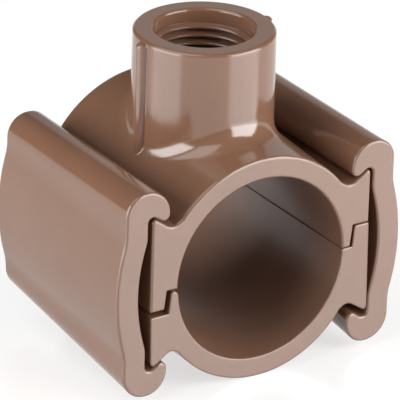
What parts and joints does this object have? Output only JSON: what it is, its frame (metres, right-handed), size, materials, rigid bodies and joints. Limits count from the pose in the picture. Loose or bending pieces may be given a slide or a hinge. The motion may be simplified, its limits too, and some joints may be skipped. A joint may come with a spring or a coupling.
{
  "type": "tapping saddle",
  "caption": "Moulded plastic tapping saddle: two half rings clamp a pipe by sliding wedge locks, and a threaded boss on the upper one takes a branch line.",
  "frame": {"origin": "where the pipe axis and the branch axis cross, in the middle of the pipe bore", "axes": "+Y along the pipe, from the locks' wide ends to their narrow ends; +Z along the branch, out of its threaded mouth; +X to the right seen from the wide ends"},
  "size_m": [0.0686, 0.0478, 0.0688],
  "materials": {
    "moulding": "satin brown moulded PVC",
    "seal": "matte black rubber"
  },
  "bodies": {
    "saddle": {"upper_half": "moulding", "lower_half": "moulding", "branch_seal": "seal"},
    "left_lock": {"left_lock": "moulding"},
    "right_lock": {"right_lock": "moulding"}
  },
  "joints": [
    {"name": "left_lock_slide", "type": "slide", "parent": "saddle", "child": "left_lock", "axis": [0, 1, 0], "range_m": [0, 0.05]},
    {"name": "right_lock_slide", "type": "slide", "parent": "saddle", "child": "right_lock", "axis": [0, 1, 0], "range_m": [0, 0.05]}
  ]
}
